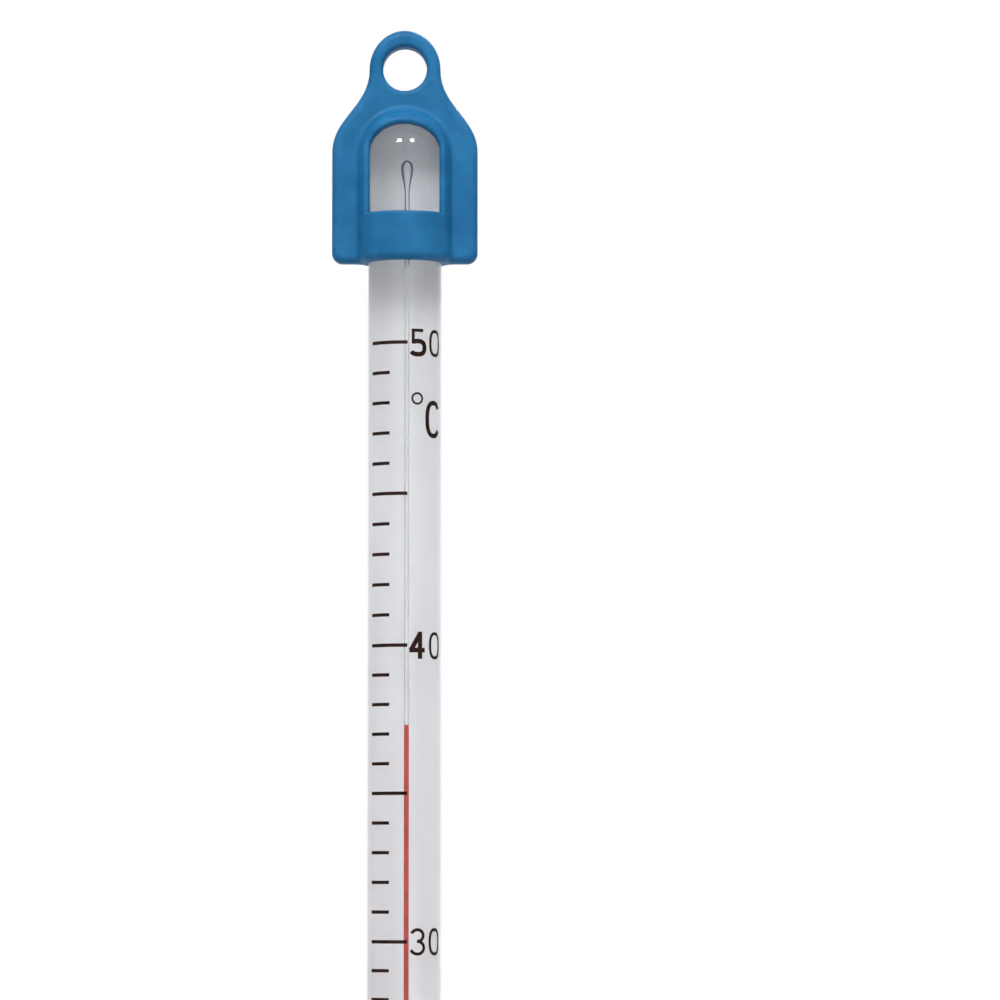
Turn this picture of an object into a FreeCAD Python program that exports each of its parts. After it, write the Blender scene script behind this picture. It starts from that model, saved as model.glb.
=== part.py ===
"""A spirit-filled glass thermometer that hangs from a soft plastic cap.

The thermometer hangs upright. The origin is the centre of the cap's hanging hole, +Z points up, the scale
faces -Y and the numerals stand on its +X side. All sizes are in millimetres.

The thick-walled glass stem is drawn round a fine bore with a white enamel strip behind it. A thin-walled
bulb is fused to its lower end. Red spirit fills the bulb and rises up the bore. The scale is fired on to the
front of the stem. The cap is one moulding: a flat plate with a hanging eye, and a socket that grips the top
of the stem, with a window on each side.
"""

import FreeCAD
import Part
import math
import os

# Glass stem
STEM_DIAMETER = 7.0
GLASS_LENGTH = 260.0
BORE_DIAMETER = 0.31
BORE_OFFSET = 0.14  # the drawn bore lies this far to the right of the stem's axis
CHAMBER_DIAMETER = 0.8  # the pear-shaped end of the bore, which takes the spirit if it overshoots
CHAMBER_ROUND = 0.73  # height of the chamber's round top above its widest place
CHAMBER_TAPER = 2.5  # length of its taper down to the bore
CHAMBER_DEPTH = 4.71  # from the top of the glass down to the chamber's widest place
THROAT_DIAMETER = 2.6  # where the bore opens into the bulb
THROAT_LENGTH = 3.0

# Bulb
BULB_DIAMETER = 5.9
BULB_WALL = 0.4
SHOULDER_LENGTH = 4.5  # the stem narrows to the bulb over this length

# White enamel strip, fused into the stem behind the bore
ENAMEL_RADIUS = 2.36
ENAMEL_THICKNESS = 0.32
ENAMEL_HALF_ANGLE = 56.0
ENAMEL_TOP_GAP = 1.7  # from the top of the glass
ENAMEL_FOOT_GAP = 7.0  # from the lower end of the stem

# Spirit. It expands a little more for each degree as it gets warmer, so the degrees lengthen up the scale.
SPIRIT_EXPANSION = 0.00109  # of its volume, for each degree
EXPANSION_RISE = 0.0033  # of that, for each degree above freezing
SPIRIT_CLEARANCE = 0.01  # round the thread of spirit in the bore
MENISCUS_DEPTH = 0.09
TIP_LENGTH = 20.0  # the top of the thread, which carries the meniscus

# Scale
COLDEST = -10
HOTTEST = 50
READING = 37.3  # degrees Celsius that the column shows at rest
DEGREE_AT_FREEZING = 2.503  # height of one degree at 0 degrees Celsius
TOP_MARGIN = 21.62  # from the top of the glass down to the hottest mark
MARK_LEFT = -3.6  # where the marks start and end, measured round the glass from its front
SHORT_MARK_RIGHT = -1.40
LONG_MARK_RIGHT = 0.34
SHORT_MARK_WIDTH = 0.32
LONG_MARK_WIDTH = 0.33
INK = 0.03  # how far the fired ink stands proud

# Numerals
DIGIT_HEIGHT = 2.58
DIGIT_WIDTH = 1.64
DIGIT_LEFT = 0.54
DIGIT_STEP = 2.06  # from one digit to the next
PEN = 0.3
BROAD_PEN = 0.45  # for the 1, the 4, the 5 and the letter
FINE_PEN = 0.2  # for the degree sign
SQUARENESS = 2.6  # of the 0 and the letter: 2 would be an ellipse
MINUS_BAR_GAP = 0.82  # between the minus bar and the numeral under it
MINUS_BAR_LENGTH = 2.35
UNIT_TEMPERATURE = 47.6  # the unit stands level with this temperature
UNIT_HEIGHT = 4.3  # of the degree sign and the letter together
DEGREE_RING = 1.2  # outer diameter of the degree sign
DEGREE_INSET = 0.15  # it starts this far right of the numerals
LETTER_HEIGHT = 3.57
LETTER_WIDTH = 2.1

# Cap
HOLE_DIAMETER = 4.2
EYE_WIDTH = 6.8
EYE_HEIGHT = 3.77  # from the middle of the eye to its top
EYE_DROP = 0.05  # the eye's middle is this far below the hole's
HOLE_TO_GLASS = 4.9  # from the middle of the hole down to the top of the glass
PLATE_WIDTH = 13.9
PLATE_THICKNESS = 2.4
PLATE_BOTTOM = 18.67  # from the middle of the hole
PLATE_CORNER = 1.0
SHOULDER_DROP = 8.0  # from the middle of the hole down to where the sides run straight
EYE_HANDLE = 3.5  # the handles of the S-shaped curve from the eye to the shoulder
SHOULDER_HANDLE = 3.3
SOCKET_CLEARANCE = 0.05
SOCKET_WALL = 1.1
WINDOW_LIP = 0.17  # the window is this much narrower than the stem on each side
WINDOW_RISE = 2.5  # height of the window's arch
WINDOW_TOP_GAP = 0.6  # from the top of the glass down to the top of the window
BAND_HEIGHT = 4.62  # the ring under the window
PLATE_EDGE_ROUND = 0.7
SOCKET_FILLET = 0.6
WINDOW_EDGE_ROUND = 0.3
HOLE_EDGE_ROUND = 0.5

# Places worked out from the sizes above
STEM_RADIUS = STEM_DIAMETER / 2
BORE_RADIUS = BORE_DIAMETER / 2
BULB_RADIUS = BULB_DIAMETER / 2
CAVITY_RADIUS = BULB_RADIUS - BULB_WALL
GLASS_TOP = -HOLE_TO_GLASS
GLASS_FOOT = GLASS_TOP - GLASS_LENGTH
SCALE_TOP = GLASS_TOP - TOP_MARGIN
DOME_CENTRE = GLASS_TOP - STEM_RADIUS
SOCKET_RADIUS = STEM_RADIUS + SOCKET_CLEARANCE
BOSS_RADIUS = SOCKET_RADIUS + SOCKET_WALL
WINDOW_SILL = -PLATE_BOTTOM + BAND_HEIGHT
TOUCH = 1e-4  # points nearer than this are taken to be on a surface

Vector = FreeCAD.Vector
UP = Vector(0, 0, 1)
BACK = Vector(0, 1, 0)


def calibrated_height(temperature):
    """Height up the scale of a temperature, from freezing, where the spirit expands by the square law."""
    return DEGREE_AT_FREEZING * temperature * (1 + EXPANSION_RISE * temperature / 2)


def level(temperature):
    """Z of a temperature. The scale is calibrated every ten degrees and ruled evenly in between."""
    low = 10 * math.floor(temperature / 10)
    share = (temperature - low) / 10
    height = calibrated_height(low) * (1 - share) + calibrated_height(low + 10) * share
    return SCALE_TOP + height - calibrated_height(HOTTEST)


def reservoir_length():
    """Straight length of the bulb's cavity that holds the spirit for a degree of this height in this bore."""
    volume = math.pi * BORE_RADIUS**2 * DEGREE_AT_FREEZING / SPIRIT_EXPANSION
    mouth = THROAT_DIAMETER / 2
    throat = math.pi * THROAT_LENGTH / 3 * (mouth**2 + mouth * BORE_RADIUS + BORE_RADIUS**2)
    round_end = 2 / 3 * math.pi * CAVITY_RADIUS**3
    return (volume - throat - round_end) / (math.pi * CAVITY_RADIUS**2)


CAVITY_BOTTOM_CENTRE = GLASS_FOOT + BULB_RADIUS
STEM_FOOT = CAVITY_BOTTOM_CENTRE + reservoir_length()
THROAT_TOP = STEM_FOOT + THROAT_LENGTH
READING_LEVEL = level(READING)


def line(a, b):
    return Part.LineSegment(Vector(*a), Vector(*b)).toShape()


def arc(a, middle, b):
    return Part.Arc(Vector(*a), Vector(*middle), Vector(*b)).toShape()


def bezier(*poles):
    curve = Part.BezierCurve()
    curve.setPoles([Vector(*p) for p in poles])
    return curve.toShape()


def spun(edges, axis_x=0.0):
    """A solid of revolution round a vertical axis, from a closed outline in the XZ plane."""
    face = Part.Face(Part.Wire(edges))
    return face.revolve(Vector(axis_x, 0, 0), UP, 360)


def rod(radius, bottom, top, axis_x=0.0):
    return Part.makeCylinder(radius, top - bottom, Vector(axis_x, 0, bottom), UP)


def export(name, solids):
    """Writes one node. Several separate solids go into it as a compound."""
    shape = solids[0] if len(solids) == 1 else Part.makeCompound(solids)
    shape.exportStep(os.path.join("parts", name + ".step"))


# ---- Glass stem ----


def chamber():
    """The pear-shaped void at the top of the bore: a round top on a taper that runs down into the bore."""
    wide = CHAMBER_DIAMETER / 2
    middle = GLASS_TOP - CHAMBER_DEPTH
    foot = middle - CHAMBER_TAPER
    x = BORE_OFFSET
    crown = bezier(
        (x, 0, middle + CHAMBER_ROUND),
        (x + wide, 0, middle + CHAMBER_ROUND),
        (x + wide, 0, middle + CHAMBER_ROUND / 2),
        (x + wide, 0, middle),
    )
    flank = bezier(
        (x + wide, 0, middle),
        (x + wide, 0, middle - CHAMBER_TAPER / 3),
        (x + BORE_RADIUS, 0, middle - CHAMBER_TAPER / 3),
        (x + BORE_RADIUS, 0, foot),
    )
    floor = line((x + BORE_RADIUS, 0, foot), (x, 0, foot))
    axis = line((x, 0, foot), (x, 0, middle + CHAMBER_ROUND))
    return spun([crown, flank, floor, axis], x)


def throat():
    """The cone where the bore opens into the bulb, on the stem's axis, leaning over to the bore."""
    mouth = Part.makeCircle(THROAT_DIAMETER / 2, Vector(0, 0, STEM_FOOT), UP)
    bore = Part.makeCircle(BORE_RADIUS, Vector(BORE_OFFSET, 0, THROAT_TOP), UP)
    return Part.makeLoft([Part.Wire(mouth), Part.Wire(bore)], True, True)


def enamel_strip():
    """A curved strip of white enamel behind the bore, along the whole stem."""
    bottom = STEM_FOOT + ENAMEL_FOOT_GAP
    height = GLASS_TOP - ENAMEL_TOP_GAP - bottom
    sector = 2 * ENAMEL_HALF_ANGLE
    outer = Part.makeCylinder(ENAMEL_RADIUS + ENAMEL_THICKNESS, height, Vector(0, 0, bottom), UP, sector)
    inner = Part.makeCylinder(ENAMEL_RADIUS, height, Vector(0, 0, bottom), UP)
    strip = outer.cut(inner)
    strip.rotate(Vector(0, 0, 0), UP, 90 - ENAMEL_HALF_ANGLE)
    return strip


def glass_stem():
    """The thick-walled rod with a round top, narrowed at its foot, round the bore, the chamber and the strip."""
    shoulder_top = STEM_FOOT + SHOULDER_LENGTH
    outline = [
        line((0, 0, STEM_FOOT), (BULB_RADIUS, 0, STEM_FOOT)),
        bezier(
            (BULB_RADIUS, 0, STEM_FOOT),
            (BULB_RADIUS, 0, STEM_FOOT + SHOULDER_LENGTH / 2),
            (STEM_RADIUS, 0, shoulder_top - SHOULDER_LENGTH / 2),
            (STEM_RADIUS, 0, shoulder_top),
        ),
        line((STEM_RADIUS, 0, shoulder_top), (STEM_RADIUS, 0, DOME_CENTRE)),
        arc(
            (STEM_RADIUS, 0, DOME_CENTRE),
            (STEM_RADIUS * math.sqrt(0.5), 0, DOME_CENTRE + STEM_RADIUS * math.sqrt(0.5)),
            (0, 0, GLASS_TOP),
        ),
        line((0, 0, GLASS_TOP), (0, 0, STEM_FOOT)),
    ]
    bore_top = GLASS_TOP - CHAMBER_DEPTH - CHAMBER_TAPER
    voids = rod(BORE_RADIUS, THROAT_TOP, bore_top, BORE_OFFSET).fuse([chamber(), throat()])
    return spun(outline).cut(voids).cut(enamel_strip())


# ---- Bulb and spirit ----


def round_ended(radius, top, centre):
    """A rod with a round lower end."""
    side = radius * math.sqrt(0.5)
    return spun(
        [
            line((0, 0, top), (radius, 0, top)),
            line((radius, 0, top), (radius, 0, centre)),
            arc((radius, 0, centre), (side, 0, centre - side), (0, 0, centre - radius)),
            line((0, 0, centre - radius), (0, 0, top)),
        ]
    )


def glass_bulb():
    """The thin-walled reservoir, fused to the foot of the stem by its rim."""
    outer = round_ended(BULB_RADIUS, STEM_FOOT, CAVITY_BOTTOM_CENTRE)
    return outer.cut(bulb_cavity())


def bulb_cavity():
    return round_ended(CAVITY_RADIUS, STEM_FOOT, CAVITY_BOTTOM_CENTRE)


def bulb_spirit():
    """The spirit that fills the bulb and the throat."""
    return bulb_cavity().fuse(throat()).removeSplitter()


def thread_radius():
    return BORE_RADIUS - SPIRIT_CLEARANCE


def spirit_column():
    """The thread of spirit from the throat up to the moving tip. It lengthens as the spirit warms."""
    return rod(thread_radius(), THROAT_TOP, READING_LEVEL - TIP_LENGTH, BORE_OFFSET)


def column_tip():
    """The top of the thread. Its upper face is hollow, because spirit wets the glass."""
    radius = thread_radius()
    body = rod(radius, READING_LEVEL - TIP_LENGTH, READING_LEVEL + MENISCUS_DEPTH, BORE_OFFSET)
    bowl_radius = (radius**2 + MENISCUS_DEPTH**2) / (2 * MENISCUS_DEPTH)
    bowl = Part.makeSphere(bowl_radius, Vector(BORE_OFFSET, 0, READING_LEVEL + bowl_radius))
    return body.cut(bowl)


# ---- Scale, fired on to the front of the stem ----


def mark(temperature, right, width):
    """One line of the scale: a thin band round part of the stem."""
    start = math.degrees(MARK_LEFT / STEM_RADIUS)
    sweep = math.degrees((right - MARK_LEFT) / STEM_RADIUS)
    bottom = Vector(0, 0, level(temperature) - width / 2)
    outer = Part.makeCylinder(STEM_RADIUS + INK, width, bottom, UP, sweep)
    inner = Part.makeCylinder(STEM_RADIUS, width, bottom, UP)
    band = outer.cut(inner)
    band.rotate(Vector(0, 0, 0), UP, start - 90)
    return band


def marks(every, skip):
    """The marks at each multiple of every degrees, less those that a coarser group holds."""
    long = every > 1
    right, width = (LONG_MARK_RIGHT, LONG_MARK_WIDTH) if long else (SHORT_MARK_RIGHT, SHORT_MARK_WIDTH)
    wanted = [t for t in range(COLDEST, HOTTEST + 1, every) if skip is None or t % skip]
    return [mark(t, right, width) for t in wanted]


def on_glass(u, z):
    """The point in front of the stem that shows u millimetres round the glass from its front."""
    return Vector(STEM_RADIUS * math.sin(u / STEM_RADIUS), 0, z)


def side_of(points, offset):
    """The points moved sideways off their own path, to the left of it where the offset is positive."""
    moved = []
    last = len(points) - 1
    for i, (u, z) in enumerate(points):
        (u0, z0), (u1, z1) = points[max(i - 1, 0)], points[min(i + 1, last)]
        length = math.hypot(u1 - u0, z1 - z0)
        moved.append((u - offset * (z1 - z0) / length, z + offset * (u1 - u0) / length))
    return moved


def smooth(points):
    curve = Part.BSplineCurve()
    curve.interpolate([on_glass(u, z) for u, z in points])
    return curve.toShape()


def stroke(points, pen=PEN):
    """A stroke of the pen along the points, as a flat face in front of the stem."""
    left, right = side_of(points, pen / 2), side_of(points, -pen / 2)
    first = line(on_glass(*right[0]), on_glass(*left[0]))
    end = line(on_glass(*left[-1]), on_glass(*right[-1]))
    return Part.Face(Part.Wire([first, smooth(left), end, smooth(right)]))


def straight(a, b, steps=4):
    return [(a[0] + (b[0] - a[0]) * i / steps, a[1] + (b[1] - a[1]) * i / steps) for i in range(steps + 1)]


def oval(centre, half_width, half_height, start, end, squareness=2.0, steps=16):
    """Points along a superellipse from one angle to another, in degrees from its right side."""

    def swing(value):
        return math.copysign(abs(value) ** (2 / squareness), value)

    angles = [math.radians(start + (end - start) * i / steps) for i in range(steps + 1)]
    u, z = centre
    return [(u + half_width * swing(math.cos(a)), z + half_height * swing(math.sin(a))) for a in angles]


def ring(centre, half_width, half_height, squareness=2.0, pen=PEN):
    """A closed oval stroke."""
    faces = []
    for grow in (pen / 2, -pen / 2):
        points = oval(centre, half_width + grow, half_height + grow, 0, 360, squareness, 32)
        curve = Part.BSplineCurve()
        curve.interpolate([on_glass(u, z) for u, z in points[:-1]], True)
        faces.append(Part.Face(Part.Wire(curve.toShape())))
    return faces[0].cut(faces[1])


def digit(figure, left, middle):
    """The strokes of one digit. Their places are shares of its half width and half height."""
    half = (DIGIT_WIDTH - PEN) / 2
    rise = (DIGIT_HEIGHT - PEN) / 2
    x = left + DIGIT_WIDTH / 2
    top, foot = middle + rise, middle - rise
    if figure == "0":
        return [ring((x, middle), half, rise, SQUARENESS)]
    if figure == "1":
        tip = top + PEN / 2
        return [
            stroke(straight((x, foot - PEN / 2), (x, tip)), BROAD_PEN),
            stroke(straight((x - 0.7 * half, tip - 0.3 * rise), (x, tip - PEN / 2))),
        ]
    if figure == "2":
        bowl = oval((x, top - 0.5 * rise), half, 0.5 * rise, 165, -35)
        return [
            stroke(bowl + straight(bowl[-1], (x - 0.9 * half, foot + PEN / 4))[1:]),
            stroke(straight((x - half - PEN / 2, foot), (x + half, foot))),
        ]
    if figure == "3":
        return [
            stroke(oval((x, top - 0.48 * rise), 0.9 * half, 0.48 * rise, 160, -95)),
            stroke(oval((x, foot + 0.52 * rise), half, 0.52 * rise, 95, -160)),
        ]
    if figure == "4":
        bar = foot + 0.6 * rise
        post = x + 0.35 * half
        return [
            stroke(straight((post, foot - PEN / 2), (post, top + PEN / 2)), BROAD_PEN),
            stroke(straight((post, top), (x - half, bar)), BROAD_PEN),
            stroke(straight((x - half - PEN / 2, bar), (x + half + PEN / 4, bar)), BROAD_PEN),
        ]
    bowl = oval((x - 0.05 * half, foot + 0.55 * rise), 1.05 * half, 0.55 * rise, 128, -150, SQUARENESS)
    spine = x - 0.72 * half
    return [
        stroke(straight((spine - PEN / 2, top), (x + 0.8 * half, top))),
        stroke(straight((spine, top), (spine, bowl[0][1] - PEN / 2))),
        stroke(bowl, BROAD_PEN),
    ]


def printed(faces):
    """The faces wrapped on to the glass: each is pushed back through the thin layer of ink on the stem."""
    shape = faces[0].extrude(-BACK * STEM_DIAMETER)
    if len(faces) > 1:
        shape = shape.fuse([f.extrude(-BACK * STEM_DIAMETER) for f in faces[1:]])
    box = shape.BoundBox
    bottom, height = box.ZMin - PEN, box.ZLength + 2 * PEN
    layer = rod(STEM_RADIUS + INK, bottom, bottom + height).cut(rod(STEM_RADIUS, bottom, bottom + height))
    return layer.common(shape).Solids


def numeral(temperature):
    """The figures beside a ten-degree mark. A bar over them stands for minus."""
    figures = str(abs(temperature))
    middle = level(temperature)
    solids = []
    if temperature < 0:
        drop = MINUS_BAR_GAP / 2
        bar_left = DIGIT_LEFT + (2 * DIGIT_STEP - MINUS_BAR_LENGTH) / 2
        bar = middle - drop + DIGIT_HEIGHT / 2 + MINUS_BAR_GAP
        solids += printed([stroke(straight((bar_left, bar), (bar_left + MINUS_BAR_LENGTH, bar)))])
        middle -= drop
    for place, figure in enumerate(figures):
        solids += printed(digit(figure, DIGIT_LEFT + place * DIGIT_STEP, middle))
    return solids


def unit_symbol():
    """The degree sign and the letter C."""
    radius = (DEGREE_RING - FINE_PEN) / 2
    top = level(UNIT_TEMPERATURE) + UNIT_HEIGHT / 2
    sign_centre = (DIGIT_LEFT + DEGREE_INSET + DEGREE_RING / 2, top - DEGREE_RING / 2)
    sign = ring(sign_centre, radius, radius, pen=FINE_PEN)
    half, rise = (LETTER_WIDTH - BROAD_PEN) / 2, (LETTER_HEIGHT - BROAD_PEN) / 2
    right = DIGIT_LEFT + DIGIT_STEP + DIGIT_WIDTH
    centre = (right - half - BROAD_PEN / 2, top - UNIT_HEIGHT + LETTER_HEIGHT / 2)
    letter = stroke(oval(centre, half, rise, 35, 325, SQUARENESS, 24), BROAD_PEN)
    return printed([sign]) + printed([letter])


# ---- Cap ----


def plate_face():
    """The cap's outline: an oval eye that widens in an S-curve to a rounded rectangle."""
    eye, side = EYE_WIDTH / 2, PLATE_WIDTH / 2
    foot, corner = -PLATE_BOTTOM, PLATE_CORNER
    bend = corner * (1 - math.sqrt(0.5))
    edges = half_oval(eye, EYE_HEIGHT, -EYE_DROP)
    for s in (-1, 1):
        edges += [
            bezier(
                (s * eye, 0, -EYE_DROP),
                (s * eye, 0, -EYE_DROP - EYE_HANDLE),
                (s * side, 0, -SHOULDER_DROP + SHOULDER_HANDLE),
                (s * side, 0, -SHOULDER_DROP),
            ),
            line((s * side, 0, -SHOULDER_DROP), (s * side, 0, foot + corner)),
            arc((s * side, 0, foot + corner), (s * (side - bend), 0, foot + bend), (s * (side - corner), 0, foot)),
        ]
    edges.append(line((-side + corner, 0, foot), (side - corner, 0, foot)))
    return Part.Face(Part.Wire(Part.__sortEdges__(edges)))


def half_oval(half_width, height, middle):
    """The upper half of an upright ellipse centred over the axis, as a list of edges."""
    ends = [Vector(half_width, 0, middle), Vector(0, 0, middle + height)]
    if height > half_width:
        ends.reverse()
    oval = Part.Ellipse(ends[0], ends[1], Vector(0, 0, middle)).toShape()
    keep = Part.makeBox(4 * half_width, 2, 2 * height, Vector(-2 * half_width, -1, middle))
    return list(oval.common(keep).Edges)


def window_face():
    """The window's outline: straight sides under a flattened arch."""
    half = STEM_RADIUS - WINDOW_LIP
    spring = GLASS_TOP - WINDOW_TOP_GAP - WINDOW_RISE
    edges = half_oval(half, WINDOW_RISE, spring) + [
        line((-half, 0, spring), (-half, 0, WINDOW_SILL)),
        line((-half, 0, WINDOW_SILL), (half, 0, WINDOW_SILL)),
        line((half, 0, WINDOW_SILL), (half, 0, spring)),
    ]
    return Part.Face(Part.Wire(Part.__sortEdges__(edges)))


def through(face, depth):
    """A flat outline given depth, evenly to the front and the back."""
    face = face.copy()
    face.translate(-BACK * depth / 2)
    return face.extrude(BACK * depth)


def capsule(radius, bottom):
    """An upright rod with a round top, centred on the glass's own round top."""
    return rod(radius, bottom, DOME_CENTRE).fuse(Part.makeSphere(radius, Vector(0, 0, DOME_CENTRE)))


def from_dome_axis(point):
    """Distance from the axis of the stem, or above the dome's centre from that centre."""
    return math.hypot(math.hypot(point.x, point.y), max(point.z - DOME_CENTRE, 0))


def rounded(shape, radius, wanted):
    """The shape with a fillet on each edge whose points along it are all wanted."""
    real = [e for e in shape.Edges if not e.Degenerated]
    edges = [e for e in real if all(wanted(p) for p in e.discretize(7))]
    return shape.makeFillet(radius, edges)


def hanging_cap():
    """The plate and the socket as one moulding, with every outer edge rounded."""
    half_plate = PLATE_THICKNESS / 2

    def on_plate(p):
        return abs(abs(p.y) - half_plate) < TOUCH

    def in_socket_corner(p):
        return on_plate(p) and abs(from_dome_axis(p) - BOSS_RADIUS) < TOUCH

    def on_rim(p):
        at_foot = abs(p.z + PLATE_BOTTOM) < TOUCH and from_dome_axis(p) < BOSS_RADIUS + SOCKET_FILLET + TOUCH
        return (on_plate(p) and from_dome_axis(p) > BOSS_RADIUS + TOUCH) or (at_foot and abs(p.y) > half_plate - TOUCH)

    def on_window(p):
        in_height = WINDOW_SILL - TOUCH < p.z < GLASS_TOP - WINDOW_TOP_GAP + TOUCH
        in_width = abs(p.x) < STEM_RADIUS - WINDOW_LIP + TOUCH
        return in_height and in_width and abs(from_dome_axis(p) - BOSS_RADIUS) < TOUCH

    def on_hole(p):
        return on_plate(p) and abs(math.hypot(p.x, p.z) - HOLE_DIAMETER / 2) < TOUCH

    body = through(plate_face(), PLATE_THICKNESS).fuse(capsule(BOSS_RADIUS, -PLATE_BOTTOM)).removeSplitter()
    body = rounded(body, SOCKET_FILLET, in_socket_corner)
    body = rounded(body, PLATE_EDGE_ROUND, on_rim)
    body = body.cut(Part.makeCylinder(HOLE_DIAMETER / 2, PLATE_THICKNESS, Vector(0, -half_plate, 0), BACK))
    body = rounded(body, HOLE_EDGE_ROUND, on_hole)
    body = body.cut(capsule(SOCKET_RADIUS, -PLATE_BOTTOM - 1))
    body = body.cut(through(window_face(), 4 * BOSS_RADIUS))
    return rounded(body, WINDOW_EDGE_ROUND, on_window)


def main():
    os.makedirs("parts", exist_ok=True)
    export("hanging_cap", [hanging_cap()])
    export("glass_stem", [glass_stem()])
    export("glass_bulb", [glass_bulb()])
    export("enamel_strip", [enamel_strip()])
    export("bulb_spirit", [bulb_spirit()])
    export("spirit_column", [spirit_column()])
    export("column_tip", [column_tip()])
    export("one_degree_marks", marks(1, 5))
    export("five_degree_marks", marks(5, 10))
    export("ten_degree_marks", marks(10, None))
    for temperature in range(COLDEST, HOTTEST + 1, 10):
        sign = "minus_" if temperature < 0 else ""
        export(f"numeral_{sign}{abs(temperature)}", numeral(temperature))
    export("unit_symbol", unit_symbol())


main()
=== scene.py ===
"""The looks of a spirit thermometer of white-backed glass that hangs from a soft blue plastic cap.

The cap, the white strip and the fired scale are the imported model's own pieces with finished materials.
The glass, the thread of spirit and the spirit in the bulb are made here as closed surfaces. Lengths are
in metres.
"""

import math

import bpy
import numpy as np
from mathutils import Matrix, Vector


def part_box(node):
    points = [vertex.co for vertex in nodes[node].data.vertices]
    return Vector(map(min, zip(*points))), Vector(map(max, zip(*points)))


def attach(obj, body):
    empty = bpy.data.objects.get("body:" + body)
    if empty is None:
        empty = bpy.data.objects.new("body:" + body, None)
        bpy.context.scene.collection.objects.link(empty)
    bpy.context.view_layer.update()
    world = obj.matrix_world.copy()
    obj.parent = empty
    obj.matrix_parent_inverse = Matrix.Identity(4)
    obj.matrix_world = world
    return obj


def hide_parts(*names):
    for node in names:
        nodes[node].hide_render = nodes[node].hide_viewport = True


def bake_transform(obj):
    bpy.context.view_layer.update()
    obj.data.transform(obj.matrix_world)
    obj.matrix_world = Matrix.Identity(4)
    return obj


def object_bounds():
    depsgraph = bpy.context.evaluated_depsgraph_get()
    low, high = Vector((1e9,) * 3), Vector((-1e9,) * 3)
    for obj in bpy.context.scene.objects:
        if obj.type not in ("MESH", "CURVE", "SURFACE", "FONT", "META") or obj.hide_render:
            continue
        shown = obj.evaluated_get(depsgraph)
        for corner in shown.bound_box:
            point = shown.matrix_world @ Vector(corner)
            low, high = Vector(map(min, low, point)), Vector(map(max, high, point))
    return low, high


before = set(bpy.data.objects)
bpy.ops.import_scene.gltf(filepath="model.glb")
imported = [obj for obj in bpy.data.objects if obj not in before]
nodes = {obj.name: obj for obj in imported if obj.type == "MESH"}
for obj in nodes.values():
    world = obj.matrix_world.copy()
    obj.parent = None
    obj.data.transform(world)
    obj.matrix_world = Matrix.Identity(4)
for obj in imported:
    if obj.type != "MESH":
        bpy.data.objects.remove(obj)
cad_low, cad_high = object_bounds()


# ---- Camera ----
# A long lens below the middle of the picture, tilted up a little: the thermometer hangs left of the middle,
# cropped below, and the rings round its stem bow upwards towards the cap.

MM = 0.001
FRAME_WIDTH = 95.24 * MM
CAMERA_DISTANCE = 500 * MM
EYE_LEVEL = -77.19 * MM
AIM = (9.09 * MM, 0.0, -41.284 * MM)
SENSOR = 36.0
NEAREST_SEEN = 0.01

camera_data = bpy.data.cameras.new("camera")
camera = bpy.data.objects.new("camera", camera_data)
bpy.context.scene.collection.objects.link(camera)
camera.location = (AIM[0], -CAMERA_DISTANCE, EYE_LEVEL)
rise = AIM[2] - EYE_LEVEL
camera.rotation_euler = (math.pi / 2 + math.atan2(rise, CAMERA_DISTANCE), 0, 0)
camera_data.sensor_width = SENSOR
camera_data.lens = SENSOR * math.hypot(CAMERA_DISTANCE, rise) / FRAME_WIDTH
camera_data.clip_start = NEAREST_SEEN
bpy.context.scene.camera = camera
bpy.context.scene.view_settings.view_transform = "Standard"


# ---- Room: pale floor, white surroundings, soft lights ----
# Two softboxes stand in front, high to the left and the right, and a wide one behind. The strength of the
# surroundings is given from the far left (0) to the far right (1). The floor is well below the bulb.

FLOOR_DROP = 1.5
FLOOR_RADIUS = 3.0
FLOOR_CORNERS = 64
FLOOR_DARK, FLOOR_LIGHT = (0.80, 0.80, 0.80, 1), (0.84, 0.84, 0.84, 1)
WALLS = ((0.0, 0.3), (0.2, 0.5), (0.35, 0.8), (0.5, 0.5), (0.65, 0.9), (0.8, 0.7), (1.0, 0.3))
WALL_STRENGTH = 1.4
WALL_TINT = (0.97, 0.98, 1.0)
SOFTBOX_DISTANCE = 1.2


def node(tree, kind, **values):
    """Adds a node and sets its named input sockets or, where it has none of that name, its properties."""
    made = tree.nodes.new("ShaderNode" + kind)
    for name, value in values.items():
        socket = next((s for s in made.inputs if s.name.replace(" ", "_") == name), None)
        if socket is None:
            setattr(made, name, value)
        else:
            socket.default_value = value
    return made


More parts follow.
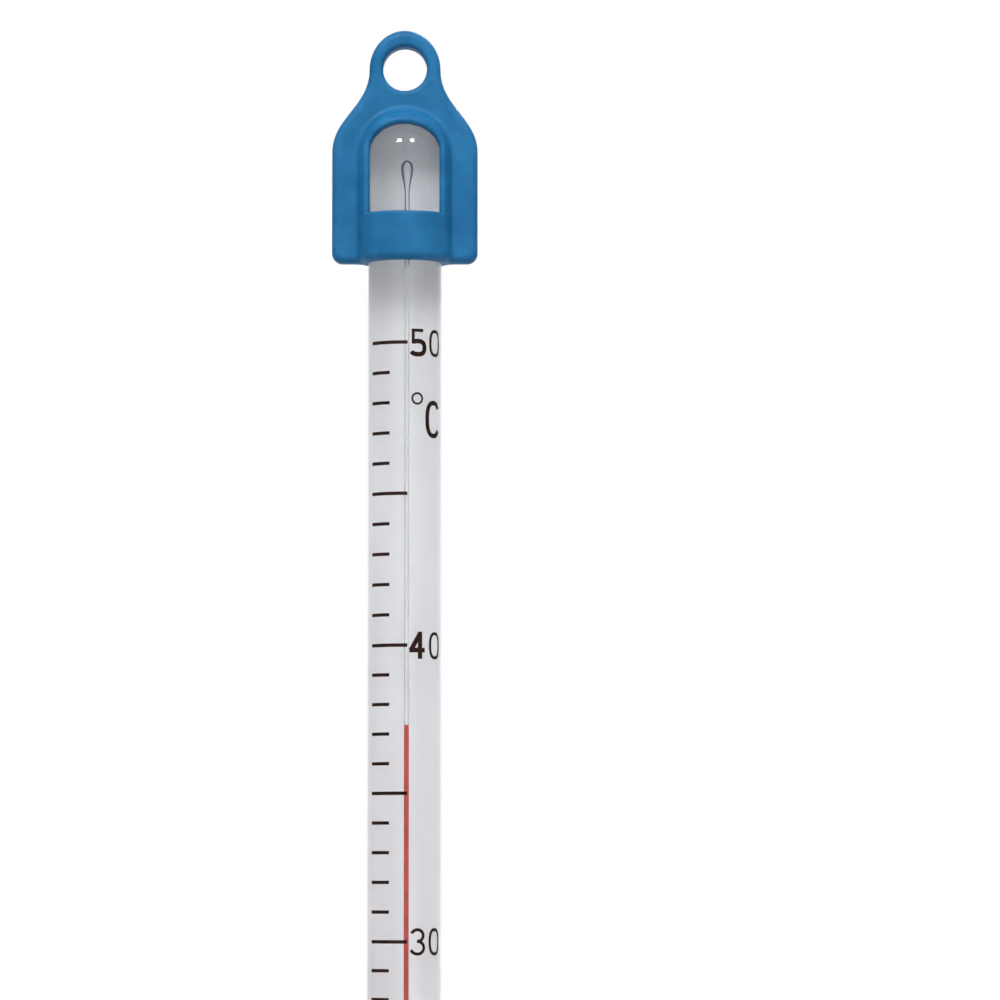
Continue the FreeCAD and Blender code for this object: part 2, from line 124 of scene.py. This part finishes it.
def room_light():
    """White surroundings, seen as full white, that light like two pale walls with a dimmer gap between them.

    The strength of the light goes by the direction's share of the way from the far left to the far right.
    """
    world = bpy.data.worlds.new("white_room")
    world.use_nodes = True
    tree = world.node_tree
    tree.nodes.clear()
    place = node(tree, "TexCoord")
    across = node(tree, "SeparateXYZ")
    share = node(tree, "MapRange", From_Min=-1.0)
    walls = node(tree, "ValToRGB")
    stops = walls.color_ramp.elements
    while len(stops) < len(WALLS):
        stops.new(0.5)
    for stop, (where, strength) in zip(stops, WALLS):
        stop.position = where
        stop.color = (*(strength * tint for tint in WALL_TINT), 1)
    walls.color_ramp.interpolation = "EASE"
    cast = node(tree, "Background", Strength=WALL_STRENGTH)
    seen = node(tree, "Background", Color=(1, 1, 1, 1), Strength=1.0)
    path = node(tree, "LightPath")
    mix = node(tree, "MixShader")
    out = node(tree, "OutputWorld")
    tree.links.new(place.outputs["Generated"], across.inputs[0])
    tree.links.new(across.outputs["X"], share.inputs["Value"])
    tree.links.new(share.outputs[0], walls.inputs["Fac"])
    tree.links.new(walls.outputs["Color"], cast.inputs["Color"])
    tree.links.new(path.outputs["Is Camera Ray"], mix.inputs[0])
    tree.links.new(cast.outputs[0], mix.inputs[1])
    tree.links.new(seen.outputs[0], mix.inputs[2])
    tree.links.new(mix.outputs[0], out.inputs["Surface"])
    bpy.context.scene.world = world


def softbox(name, azimuth, elevation, size, watts):
    """A square light aimed at the upper stem, from degrees to the right of the front and above the level.

    It stands at the distance times (sin a cos e, -cos a cos e, sin e) from there.
    """
    a, e = math.radians(azimuth), math.radians(elevation)
    away = np.array([math.sin(a) * math.cos(e), -math.cos(a) * math.cos(e), math.sin(e)])
    data = bpy.data.lights.new(name, "AREA")
    data.shape, data.size, data.energy = "SQUARE", size, watts
    lamp = bpy.data.objects.new(name, data)
    bpy.context.scene.collection.objects.link(lamp)
    lamp.location = away * SOFTBOX_DISTANCE + np.array([0, 0, EYE_LEVEL / 2])
    lamp.rotation_euler = (math.pi / 2 - e, 0, a)


def floor():
    """A round pale floor: one flat face whose corners stand at equal turns on a circle about the axis."""
    turn = np.linspace(0, 2 * math.pi, FLOOR_CORNERS, endpoint=False)
    level = np.full(FLOOR_CORNERS, cad_low.z - FLOOR_DROP)
    rim = np.stack([FLOOR_RADIUS * np.cos(turn), FLOOR_RADIUS * np.sin(turn), level], 1)
    mesh = bpy.data.meshes.new("floor")
    mesh.from_pydata(rim.tolist(), [], [list(range(FLOOR_CORNERS))])
    material = bpy.data.materials.new("pale_floor")
    material.use_nodes = True
    tree = material.node_tree
    shader = tree.nodes["Principled BSDF"]
    grain = node(tree, "TexNoise", Scale=60.0, Detail=4.0)
    ramp = node(tree, "ValToRGB")
    first, last = ramp.color_ramp.elements
    first.color, last.color = FLOOR_DARK, FLOOR_LIGHT
    place = node(tree, "TexCoord")
    tree.links.new(place.outputs["Object"], grain.inputs["Vector"])
    tree.links.new(grain.outputs["Fac"], ramp.inputs["Fac"])
    tree.links.new(ramp.outputs["Color"], shader.inputs["Base Color"])
    shader.inputs["Roughness"].default_value = 0.8
    mesh.materials.append(material)
    disc = bpy.data.objects.new("floor", mesh)
    bpy.context.scene.collection.objects.link(disc)


room_light()
softbox("softbox_left", azimuth=-22, elevation=47, size=0.24, watts=11.5)
softbox("softbox_right", azimuth=30, elevation=47, size=0.24, watts=4.5)
softbox("softbox_back", azimuth=160, elevation=40, size=0.5, watts=9.0)
floor()


# ---- Cap ----
# One moulding in soft blue plastic: a plate with a hanging eye and a socket that grips the top of the glass.
# Its skin is matt and a little uneven, as it leaves the mould.

BLUE_DARK, BLUE_LIGHT = (0.0055, 0.093, 0.218), (0.011, 0.119, 0.266)
BLUE_SCATTER = (0.2 * MM, 0.5 * MM, 0.9 * MM)
SKIN_DEPTH = 0.012 * MM
BLOTCH_RANGE = (0.35, 0.65)


def finish_node(name, material):
    """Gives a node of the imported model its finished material."""
    mesh = nodes[name].data
    mesh.materials.clear()
    mesh.materials.append(material)


def shell(name, **constants):
    """A new material with its shader, its node tree and the piece's own coordinates."""
    material = bpy.data.materials.new(name)
    material.use_nodes = True
    tree = material.node_tree
    shader = tree.nodes["Principled BSDF"]
    for socket, value in constants.items():
        shader.inputs[socket.replace("_", " ")].default_value = value
    place = node(tree, "TexCoord")
    return material, tree, shader, place.outputs["Object"]


def blotches(tree, place, grains, dark, light, detail=3.0, along=1.0):
    """Noise of that many grains to the metre, as a colour from dark to light, and as it comes.

    With along below 1, the grains are drawn out lengthwise.
    """
    mapping = node(tree, "Mapping", Scale=(1, 1, along))
    grain = node(tree, "TexNoise", Scale=grains, Detail=detail)
    ramp = node(tree, "ValToRGB")
    first, last = ramp.color_ramp.elements
    first.position, last.position = BLOTCH_RANGE
    first.color, last.color = (*dark, 1), (*light, 1)
    tree.links.new(place, mapping.inputs["Vector"])
    tree.links.new(mapping.outputs[0], grain.inputs["Vector"])
    tree.links.new(grain.outputs["Fac"], ramp.inputs["Fac"])
    return ramp.outputs["Color"], grain.outputs["Fac"]


def relief(tree, shader, height, depth, strength):
    """Fine relief of that depth in metres."""
    bump = node(tree, "Bump", Strength=strength, Distance=depth)
    tree.links.new(height, bump.inputs["Height"])
    tree.links.new(bump.outputs[0], shader.inputs["Normal"])


def moulded_blue():
    """Matt blue plastic: faint cloudy colour, a fine orange-peel skin and slightly uneven gloss."""
    material, tree, shader, place = shell(
        "moulded_blue",
        IOR=1.5,
        Specular_IOR_Level=0.15,
        Subsurface_Weight=0.08,
        Subsurface_Radius=BLUE_SCATTER,
    )
    colour, _ = blotches(tree, place, 420.0, BLUE_DARK, BLUE_LIGHT)
    gloss, _ = blotches(tree, place, 900.0, (0.42,) * 3, (0.56,) * 3)
    _, skin = blotches(tree, place, 3200.0, (0,) * 3, (1,) * 3, detail=2.0)
    tree.links.new(colour, shader.inputs["Base Color"])
    tree.links.new(gloss, shader.inputs["Roughness"])
    relief(tree, shader, skin, SKIN_DEPTH, strength=0.35)
    return material


finish_node("hanging_cap", moulded_blue())


# ---- Glass ----
# A thick-walled stem drawn round a fine bore, melted to a dome at the top and drawn in to a thin-walled bulb.
# One closed skin stands for both, and a second one inside it bounds the bore and the bulb. Only the sizes of
# what lies hidden in the glass are given here.

WALL = 0.4 * MM
BORE_CLEARANCE = 0.01 * MM
SHOULDER = 4.5 * MM
CHAMBER_RADIUS = 0.40 * MM
CHAMBER_DEPTH = 4.71 * MM
CHAMBER_ROUND = 0.73 * MM
CHAMBER_TAPER = 2.5 * MM
THROAT_RADIUS = 1.3 * MM
GLASS_TINT = (0.985, 0.99, 0.99, 1)
DRAW_LINE_DEPTH = 0.004 * MM
OUTER_SIDES, BORE_SIDES = 192, 64

stem_low, stem_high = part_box("glass_stem")
bulb_low, bulb_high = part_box("glass_bulb")
thread_low, thread_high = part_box("spirit_column")
tip_low, tip_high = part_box("column_tip")
stem_radius = (stem_high.x - stem_low.x) / 2
bulb_radius = (bulb_high.x - bulb_low.x) / 2
bore_x = (thread_low.x + thread_high.x) / 2
bore_radius = (thread_high.x - thread_low.x) / 2 + BORE_CLEARANCE
throat_top = thread_low.z
cavity_radius = bulb_radius - WALL
bulb_centre = bulb_low.z + bulb_radius


def quarter(count):
    """Angles over a quarter turn, in radians."""
    return np.radians(np.linspace(0.0, 90.0, count))


def ease(share):
    """A smooth step from 0 to 1: three squares less two cubes."""
    return share * share * (3 - 2 * share)


def down(x, r, z):
    """Part of a profile: a row (x, r, z) for each of its points, from the top down."""
    return np.stack(np.broadcast_arrays(np.asarray(x, float), r, z), 1)


def carried(rows, segments, inwards=False):
    """A closed skin: circles of radius r about (x, 0) at height z, for each row (x, r, z) from the top down.

    Point (i, j) is (x_i + r_i cos a_j, r_i sin a_j, z_i), with a_j the j-th of the equal turns. The first and
    the last row have no radius: each is a single point. Its faces point outwards, or else inwards.
    """
    x, r, z = rows[1:-1].T[:, :, None]
    turn = np.linspace(0, 2 * math.pi, segments, endpoint=False)
    rings = np.stack(np.broadcast_arrays(x + r * np.cos(turn), r * np.sin(turn), z), 2).reshape(-1, 3)
    points = np.concatenate([rows[:1] * (1, 0, 1), rings, rows[-1:] * (1, 0, 1)])
    a = np.arange(segments)
    b = (a + 1) % segments
    step = 1 + segments * np.arange(len(rows) - 3)[:, None]
    quads = np.stack([step + a, step + segments + a, step + segments + b, step + b], 2).reshape(-1, 4)
    foot = 1 + segments * (len(rows) - 3)
    crown = np.stack([np.zeros_like(a), 1 + a, 1 + b], 1)
    heel = np.stack([np.full_like(a, len(points) - 1), foot + b, foot + a], 1)
    triangles = np.concatenate([crown, heel])
    return (points, quads[:, ::-1], triangles[:, ::-1]) if inwards else (points, quads, triangles)


def piece(name, skins, material):
    """One object from one or more closed skins, smooth all over."""
    points = np.concatenate([skin[0] for skin in skins])
    starts = np.cumsum([0] + [len(skin[0]) for skin in skins])
    faces = []
    for (_, quads, triangles), start in zip(skins, starts):
        faces += (quads + start).tolist() + (triangles + start).tolist()
    mesh = bpy.data.meshes.new(name)
    mesh.from_pydata(points.tolist(), [], faces)
    mesh.polygons.foreach_set("use_smooth", np.ones(len(faces), bool))
    mesh.update()
    mesh.materials.append(material)
    made = bpy.data.objects.new(name, mesh)
    bpy.context.scene.collection.objects.link(made)
    return made


def outer_profile():
    """The outside of the glass: a dome, a straight stem, an S-shaped shoulder, the bulb and its round end."""
    turn, end = quarter(40), quarter(32)[1:]
    dome_foot, shoulder_top = stem_high.z - stem_radius, stem_low.z + SHOULDER
    share = np.linspace(0, 1, 24)[1:]
    shoulder_radius = stem_radius + (bulb_radius - stem_radius) * ease(share)
    return np.concatenate([
        down(0, stem_radius * np.sin(turn), dome_foot + stem_radius * np.cos(turn)),
        down(0, stem_radius, np.linspace(dome_foot, shoulder_top, 60)[1:]),
        down(0, shoulder_radius, shoulder_top - SHOULDER * share),
        down(0, bulb_radius, np.linspace(stem_low.z, bulb_centre, 10)[1:]),
        down(0, bulb_radius * np.cos(end), bulb_centre - bulb_radius * np.sin(end)),
    ])


def cavity_profile(grow=0.0):
    """The bulb's cavity from the throat's top, wider by the growth all round.

    It is a flare that leans back to the axis, a round shoulder, a straight wall and a round end.
    """
    share, shoulder, end = np.linspace(0, 1, 24), quarter(16)[1:], quarter(24)[1:]
    round_radius = cavity_radius - THROAT_RADIUS
    shoulder_foot = stem_low.z - round_radius
    flare_radius = bore_radius + (THROAT_RADIUS - bore_radius) * ease(share)
    shoulder_radius = THROAT_RADIUS + round_radius * np.sin(shoulder)
    wide = cavity_radius + grow
    return np.concatenate([
        down(bore_x * (1 - share), flare_radius + grow, throat_top + (stem_low.z - throat_top) * share),
        down(0, shoulder_radius + grow, shoulder_foot + round_radius * np.cos(shoulder)),
        down(0, wide, np.linspace(shoulder_foot, bulb_centre, 8)[1:]),
        down(0, wide * np.cos(end), bulb_centre - wide * np.sin(end)),
    ])


def void_profile():
    """The void in the glass: the pear-shaped chamber, the bore, and the bulb's cavity."""
    turn, share = quarter(20), np.linspace(0, 1, 28)[1:]
    middle = stem_high.z - CHAMBER_DEPTH
    taper_foot = middle - CHAMBER_TAPER
    taper_radius = CHAMBER_RADIUS + (bore_radius - CHAMBER_RADIUS) * ease(share)
    return np.concatenate([
        down(bore_x, CHAMBER_RADIUS * np.sin(turn), middle + CHAMBER_ROUND * np.cos(turn)),
        down(bore_x, taper_radius, middle - CHAMBER_TAPER * share),
        down(bore_x, bore_radius, np.linspace(taper_foot, throat_top, 40)[1:-1]),
        cavity_profile(),
    ])


def clear_glass():
    """Clear glass with faint lengthwise draw lines."""
    material, tree, shader, place = shell(
        "clear_glass", IOR=1.5, Transmission_Weight=1.0, Base_Color=GLASS_TINT
    )
    gloss, _ = blotches(tree, place, 300.0, (0.0,) * 3, (0.012,) * 3)
    _, lines = blotches(tree, place, 900.0, (0,) * 3, (1,) * 3, detail=1.0, along=0.02)
    tree.links.new(gloss, shader.inputs["Roughness"])
    relief(tree, shader, lines, DRAW_LINE_DEPTH, strength=0.15)
    return material


outside = carried(outer_profile(), OUTER_SIDES)
inside = carried(void_profile(), BORE_SIDES, inwards=True)
glass = piece("glass_body", [outside, inside], clear_glass())
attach(glass, "glass")
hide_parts("glass_stem", "glass_bulb")


# ---- White strip ----
# A ribbon of opaque white glass fused into the stem behind the bore. It has no gloss of its own in there,
# and was drawn out with the stem.

WHITE_DARK, WHITE_LIGHT = (0.80, 0.80, 0.82), (0.86, 0.86, 0.88)


def white_enamel():
    """White enamel with very faint lengthwise streaks from the drawing."""
    material, tree, shader, place = shell("white_enamel", Specular_IOR_Level=0.0, Roughness=0.6)
    colour, _ = blotches(tree, place, 700.0, WHITE_DARK, WHITE_LIGHT, detail=2.0, along=0.03)
    tree.links.new(colour, shader.inputs["Base Color"])
    return material


finish_node("enamel_strip", white_enamel())


# ---- Spirit ----
# Dyed spirit fills the bulb and stands in the bore as a fine thread with a hollow top. It wets the glass, so
# each surface reaches a hair's breadth into the wall.

WET = 0.002 * MM
MENISCUS = 0.09 * MM
RIM = 0.004 * MM
THREAD_END = 0.5 * MM
BLUNT = 0.01 * MM
RED_DARK, RED_LIGHT = (0.48, 0.049, 0.045), (0.58, 0.068, 0.060)
RED_SCATTER = (0.6 * MM, 0.1 * MM, 0.1 * MM)
THREAD_SIDES, FILL_SIDES = 40, 96


def red_spirit():
    """Clear red dye: slightly uneven and a little translucent."""
    material, tree, shader, place = shell(
        "red_spirit",
        Specular_IOR_Level=0.1,
        Roughness=0.3,
        Subsurface_Weight=0.3,
        Subsurface_Radius=RED_SCATTER,
    )
    colour, _ = blotches(tree, place, 500.0, RED_DARK, RED_LIGHT)
    tree.links.new(colour, shader.inputs["Base Color"])
    return material


def thread_profile():
    """The thread: a hollow top, a shallow bowl up to its rim, then straight down into the throat."""
    radius, turn = bore_radius + WET, quarter(9)
    foot = throat_top - THREAD_END
    bowl = down(bore_x, radius * np.sin(turn), tip_high.z - MENISCUS * np.cos(turn) ** 2)
    side_z = (tip_high.z - RIM, foot, foot - BLUNT, foot - BLUNT)
    side = down(bore_x, (radius, radius, 0.9 * radius, 0), side_z)
    return np.concatenate([bowl, side])


spirit = red_spirit()
thread = piece("spirit_thread", [carried(thread_profile(), THREAD_SIDES)], spirit)
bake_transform(thread)
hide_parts("spirit_column", "column_tip")

filling = np.concatenate([down([bore_x], 0, throat_top), cavity_profile(WET)])
fill = piece("bulb_fill", [carried(filling, FILL_SIDES)], spirit)
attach(fill, "glass")
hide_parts("bulb_spirit")


# ---- Scale ----
# Lines and figures printed in dark brown enamel and fired on to the front of the stem. They stand proud of
# the glass by a few hundredths of a millimetre.

INK_THIN, INK_THICK = (0.028, 0.008, 0.005), (0.006, 0.003, 0.002)
INK_GRAIN = 0.004 * MM


def fired_ink():
    """Dark brown fired ink, thinner and redder here and there."""
    material, tree, shader, place = shell("fired_ink", IOR=1.5, Specular_IOR_Level=0.08)
    colour, thickness = blotches(tree, place, 1500.0, INK_THICK, INK_THIN)
    gloss, _ = blotches(tree, place, 2500.0, (0.30,) * 3, (0.50,) * 3)
    tree.links.new(colour, shader.inputs["Base Color"])
    tree.links.new(gloss, shader.inputs["Roughness"])
    relief(tree, shader, thickness, INK_GRAIN, strength=0.4)
    return material


ink = fired_ink()
for name in nodes:
    if name.endswith("_marks") or name.startswith("numeral_") or name == "unit_symbol":
        finish_node(name, ink)
